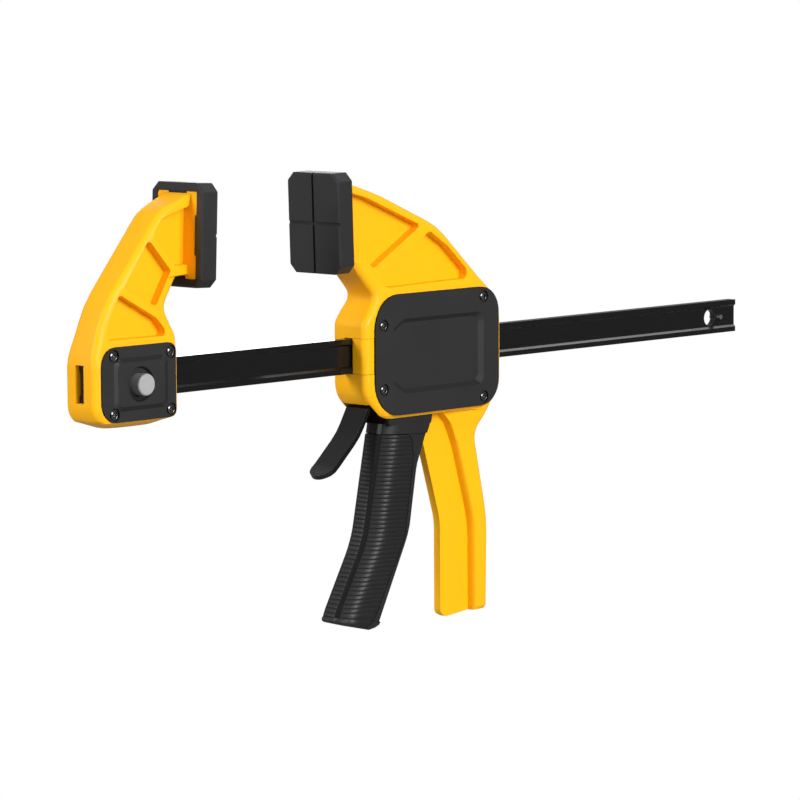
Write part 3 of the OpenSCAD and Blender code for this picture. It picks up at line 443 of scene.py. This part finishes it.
def markWalls(mesh, limits):
    # faces that lean away from the cover's front are marked, but for gentle slopes that face left; the mark
    # gives these walls a rougher finish and painted shade
    normals = np.empty(len(mesh.polygons) * 3)
    mesh.polygons.foreach_get("normal", normals)
    across, depth = normals[0::3], np.abs(normals[1::3])
    plain = (depth > limits["front"]) | ((across < limits["left"]) & (depth > limits["gentle"]))
    layer = mesh.attributes.new("wall", "FLOAT", "FACE")
    layer.data.foreach_set("value", np.where(plain, 0, 1).astype(np.float32))


# softening: points within this distance in metres are one, faces that turn by less than this many degrees
# are one, and an edge is rounded where it turns this much more than the shading angle
softening = {"merge": 1e-6, "flat": 0.3, "past": 2, "segments": 3}


def softened(nodeName, body, radius, angle):
    source = nodes[nodeName]
    mesh = source.data.copy()
    if nodeName == "housing":
        easedFlare(mesh, flare)
    if nodeName in coverRelief:
        deepenedRelief(mesh, coverRelief[nodeName])
    work = bmesh.new()
    work.from_mesh(mesh)
    bmesh.ops.remove_doubles(work, verts=work.verts, dist=softening["merge"])
    flat = math.radians(softening["flat"])
    bmesh.ops.dissolve_limit(work, angle_limit=flat, verts=work.verts, edges=work.edges)
    work.to_mesh(mesh)
    work.free()
    if nodeName in coverRelief:
        markWalls(mesh, wallLimits)
    mesh.shade_smooth()
    mesh.set_sharp_from_angle(angle=math.radians(angle))
    piece = bpy.data.objects.new(nodeName + "Moulded", mesh)
    bpy.context.collection.objects.link(piece)
    bevel = piece.modifiers.new("softEdges", "BEVEL")
    bevel.width = radius / 1000
    bevel.segments = softening["segments"]
    bevel.limit_method = "ANGLE"
    bevel.angle_limit = math.radians(angle + softening["past"])
    bevel.harden_normals = False
    bevel.miter_outer = "MITER_ARC"
    weigh = piece.modifiers.new("evenNormals", "WEIGHTED_NORMAL")
    weigh.keep_sharp = False
    setFinish(piece, ownFinish.get(nodeName, slotFinish[nodeSlot[nodeName]]))
    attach(piece, body)
    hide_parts(nodeName)


for nodeName, (body, radius, angle) in moulded.items():
    softened(nodeName, body, radius, angle)
print("moulded pieces softened:", len(moulded))

# numpy surfaces, all in millimetres; a row's points within this distance in metres close as a pole
poleWithin = 2e-6


def newPiece(name, points, body, node, slotName, smoothUnder=40, marks=None):
    # points are copies x rows x columns x 3: columns close round, the first and last rows are capped, and
    # rows that shrink to one point close as a pole
    copies, rows, columns = points.shape[:3]
    index = np.arange(copies * rows * columns).reshape(copies, rows, columns)
    beside = np.roll(index, -1, axis=2)
    quads = np.stack([index[:, :-1], beside[:, :-1], beside[:, 1:], index[:, 1:]], axis=-1).reshape(-1, 4)
    caps = index[:, 0, ::-1].tolist() + index[:, -1].tolist()
    mesh = bpy.data.meshes.new(name)
    mesh.from_pydata((points.reshape(-1, 3) / 1000).tolist(), [], quads.tolist() + caps)
    for markName, values in (marks or {}).items():
        layer = mesh.attributes.new(markName, "FLOAT", "POINT")
        layer.data.foreach_set("value", np.broadcast_to(values, points.shape[:3]).ravel().astype(np.float32))
    work = bmesh.new()
    work.from_mesh(mesh)
    bmesh.ops.remove_doubles(work, verts=work.verts, dist=poleWithin)
    bmesh.ops.recalc_face_normals(work, faces=work.faces)
    work.to_mesh(mesh)
    work.free()
    mesh.shade_smooth()
    mesh.set_sharp_from_angle(angle=math.radians(smoothUnder))
    piece = bpy.data.objects.new(name, mesh)
    bpy.context.collection.objects.link(piece)
    setFinish(piece, slotFinish[slotName])
    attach(piece, body)
    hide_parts(node)


def easedRun(at, places, values, blend):
    # a bent line through (place, value) corners, each corner eased over the blend length:
    # the mean of the straight line at nine steps across it
    steps = np.linspace(-blend / 2, blend / 2, 9)
    return np.mean([np.interp(at + step, places, values) for step in steps], axis=0)


# screws: a turned profile of (radius, height above the seat), whose rows inside the head follow a socket
# with six lobes; each screw of a cover is twisted by its own angle, in radians
screws = {
    "headRadius": 2.35, "headHeight": 1.3, "shankRadius": 1.4, "shankLength": 6.6,
    "socketRadius": 1.05, "lobes": 6, "lobe": 0.2, "socketDepth": 0.9, "round": 72,
    "domeShares": (0.93, 0.62), "domeRows": 5, "domeDrop": 0.62, "twists": (0.2, 0.9, 0.55, 0.05),
    "fixedCover": {"seat": -12.2, "from": backPlane, "places": screwPlaces["fixed_jaw_cover"]},
    "housing": {"seat": -13.2, "from": nosePlane, "places": screwPlaces["housing_cover"]},
}


def screwPoints(facts, rowOf):
    turn = np.linspace(0, 2 * np.pi, facts["round"], endpoint=False)
    star = facts["socketRadius"] + facts["lobe"] * np.cos(facts["lobes"] * turn)
    head, top, shank = facts["headRadius"], facts["headHeight"], facts["shankRadius"]
    ring = np.ones_like(turn)
    # dome: height falls from the top as the cube of the radius
    domeRadius = np.linspace(*facts["domeShares"], facts["domeRows"]) * head
    domeHeight = top - facts["domeDrop"] * (domeRadius / head) ** 3
    rows = [(0 * ring, -facts["shankLength"]), (0.8 * shank * ring, -facts["shankLength"]),
            (shank * ring, 1.2 - facts["shankLength"]), (shank * ring, 0.0), (0.96 * head * ring, 0.0),
            (head * ring, 0.12), (head * ring, 0.62), (0.985 * head * ring, 0.86)]
    rows += [(radius * ring, height) for radius, height in zip(domeRadius, domeHeight)]
    bottom = top - facts["socketDepth"]
    rows += [(star + 0.16, top - 0.1), (star + 0.05, top - 0.13), (star, top - 0.22),
             (star, bottom), (0.6 * star, bottom - 0.12), (0 * ring, bottom - 0.2)]
    radius = np.stack([row[0] for row in rows])
    height = np.stack([row[1] * ring for row in rows])
    places = np.array(rowOf["places"])
    twist = np.array(facts["twists"])[:, None, None]
    x = rowOf["from"] + places[:, 0, None, None] + radius * np.cos(turn + twist)
    z = places[:, 1, None, None] + radius * np.sin(turn + twist)
    y = np.broadcast_to(rowOf["seat"] - height, x.shape)
    return np.stack([x, y, z], axis=-1)


fixedScrewPoints = screwPoints(screws, screws["fixedCover"])
housingScrewPoints = screwPoints(screws, screws["housing"])
newPiece("fixedCoverScrews", fixedScrewPoints, "bar", "fixed_cover_screws", "screw_steel")
newPiece("housingScrews", housingScrewPoints, "sliding_jaw", "housing_screws", "screw_steel")
print("screws made")

# ribbed skin of the squeeze lever: a section that wraps the grip's front and sides, carried up along the
# lever's bent front line, with a wave of rounded ribs pressed into its outer face
gripSkin = {
    "from": nosePlane, "bottom": -150.8, "ribsFrom": -148.3, "top": -46.2, "ribs": 42, "rowsPerRib": 10,
    "footRows": 8, "ribDepth": 0.3, "lip": 0.9, "seam": 0.45, "seamHalf": 0.2, "seamFade": 0.35,
    "leanHeights": (-151.4, -145), "leans": (0.27, 0.06),
    "reachHeights": (-151.4, -150.2, -146), "reaches": (22, 28, 34),
    "frontHeights": (-152, -150.2, -107, -40.4), "frontPlaces": (-20.3, -19.3, 5.3, 18.8), "frontBlend": 17,
    "rearHeights": (-157.4, -155.6, -153.5, -150, -108, -62, -44),
    "rearPlaces": (1.5, 6, 8.6, 10.6, 34.6, 42.4, 40.5), "rearBlend": 3,
    "cornerRound": 4.0, "border": 1.7,
    "outer": [(0, 0), (0, 2.2), (0.03, 3.6), (0.15, 4.5), (0.5, 4.98), (1.2, 5.1), (2.0, 5.15), (2.8, 5.2),
              (3.1, 5.5), (3.5, 6.0), (4.3, 6.9), (5.4, 8.0), (6.6, 9.2), (7.9, 10.2), (9.5, 11.1),
              (12, 11.6)],
    "outerPoints": 46, "outerBlend": 0.05,
    "ribless": (4.6, 5.6),
    "sideShares": (0.3, 0.6, 0.9, 1.0), "borderSteps": (0.25, 0.5),
    "seamSteps": (-0.6, -0.15, 0.2, 0.3), "seamSinks": (0.0, -0.15, -0.6, -1.4),
    "innerRear": -1.5, "innerSteps": (12.0, 7.6, 5.8, 5.4, 4.6, 1.7, 1.7),
    "innerHalf": 9.65, "innerShares": (1, 1, 0.86, 0.68, 0.56, 0.45, 0.38, 0.0),
}


def gripSkinPoints(facts):
    ribbed = np.linspace(facts["ribsFrom"], facts["top"], facts["ribs"] * facts["rowsPerRib"] + 1)
    foot = np.linspace(facts["bottom"], facts["ribsFrom"], facts["footRows"] + 1)[:-1]
    height = np.concatenate([foot, ribbed])
    front = easedRun(height, facts["frontHeights"], facts["frontPlaces"], facts["frontBlend"])
    # each row leans: it sinks by this share of the way back from the front line, more at the foot
    lean = np.interp(height, facts["leanHeights"], facts["leans"])
    behind = height - lean * np.interp(height, facts["reachHeights"], facts["reaches"])
    rear = easedRun(behind, facts["rearHeights"], facts["rearPlaces"], facts["rearBlend"])
    # upper rear corner falls away on an arc
    near = np.clip((height - (facts["top"] - facts["cornerRound"])) / facts["cornerRound"], 0, 1)
    rear = rear - facts["cornerRound"] * (1 - np.sqrt(1 - near ** 2))
    # rib wave: a round crest and a narrow valley, and a rolled lip at both ends
    ribSpan = facts["top"] - facts["ribsFrom"]
    phase = np.clip((height - facts["ribsFrom"]) / ribSpan, 0, 1) * facts["ribs"] % 1
    wave = facts["ribDepth"] * (1 - (4 * phase * (1 - phase)) ** 0.4)
    # smooth below the ribs, with a seam where they start
    below = height < facts["ribsFrom"] - facts["seamHalf"]
    seamDepth = facts["seam"] * np.exp(-((height - facts["ribsFrom"]) / facts["seamFade"]) ** 2)
    wave = np.where(below, seamDepth, wave)
    toEnd = np.minimum(height - facts["bottom"], facts["top"] - height)
    edge = np.clip(1 - toEnd / facts["lip"], 0, 1)
    sunk = (wave + facts["lip"] * (1 - np.sqrt(1 - edge ** 2)))[:, None]
    # half section: the curve through the outer points, eased, then the flat side to the rear seam
    corners = np.array(facts["outer"])
    along = np.linspace(0, 1, len(corners))
    shares = np.linspace(0, 1, facts["outerPoints"])
    forward = easedRun(shares, along, corners[:, 0], facts["outerBlend"])
    aside = easedRun(shares, along, corners[:, 1], facts["outerBlend"])
    aside[0] = 0
    # the wave is pressed in square to the section
    slopeX, slopeY = np.gradient(forward), np.gradient(aside)
    slope = np.hypot(slopeX, slopeY)
    # and fades out in the valley beside the front strip
    valleyMiddle, valleyWidth = np.mean(facts["ribless"]), np.ptp(facts["ribless"])
    valley = np.clip(1 - np.abs(aside - valleyMiddle) / valleyWidth, 0, 1)
    pressed = sunk - wave[:, None] * valley
    frontX = front[:, None] + forward + pressed * slopeY / slope
    frontY = np.maximum(aside - pressed * slopeX / slope, 0)
    # the ribs end before the rear edge, at a fine groove and a smooth rounded border
    start = frontX[:, -1:]
    ribsEnd = rear[:, None] - facts["border"]
    sideX = np.concatenate([start + (ribsEnd - start) * np.array(facts["sideShares"]),
                            ribsEnd + np.array(facts["borderSteps"])], axis=1)
    border = corners[-1, 1] - (sunk - wave[:, None])
    flatSide = corners[-1, 1] - sunk + np.zeros((1, len(facts["sideShares"])))
    sideY = np.concatenate([flatSide, border - facts["seam"], border], axis=1)
    seamX = rear[:, None] + np.array(facts["seamSteps"])
    seamY = border + np.array(facts["seamSinks"])
    innerX = np.concatenate([rear[:, None] + facts["innerRear"],
                             front[:, None] + np.array(facts["innerSteps"])], axis=1)
    innerY = np.broadcast_to(facts["innerHalf"] * np.array(facts["innerShares"]), innerX.shape)
    halfX = np.concatenate([frontX, sideX, seamX, innerX], axis=1)
    halfY = np.concatenate([frontY, sideY, seamY, innerY], axis=1)
    x = np.concatenate([halfX, halfX[:, -2:0:-1]], axis=1)
    y = np.concatenate([-halfY, halfY[:, -2:0:-1]], axis=1)
    z = height[:, None] - lean[:, None] * (x - front[:, None])
    # mark of the valley, by the distance of each section point from its middle; the mark gives the valley a
    # rougher finish and painted shade
    half = np.concatenate([aside, np.full(halfX.shape[1] - len(aside), 99.0)])
    mark = np.clip(2 - np.abs(half - valleyMiddle) / (0.5 * valleyWidth), 0, 1)
    mark = np.concatenate([mark, mark[-2:0:-1]])
    return np.stack([x + facts["from"], y, z], axis=-1)[None], mark


skinPoints, valleyMark = gripSkinPoints(gripSkin)
newPiece("ribbedGripSkin", skinPoints, "squeeze_lever", "lever_grip", "grip_rubber", 50,
         {"valley": valleyMark})
print("grip skin made")
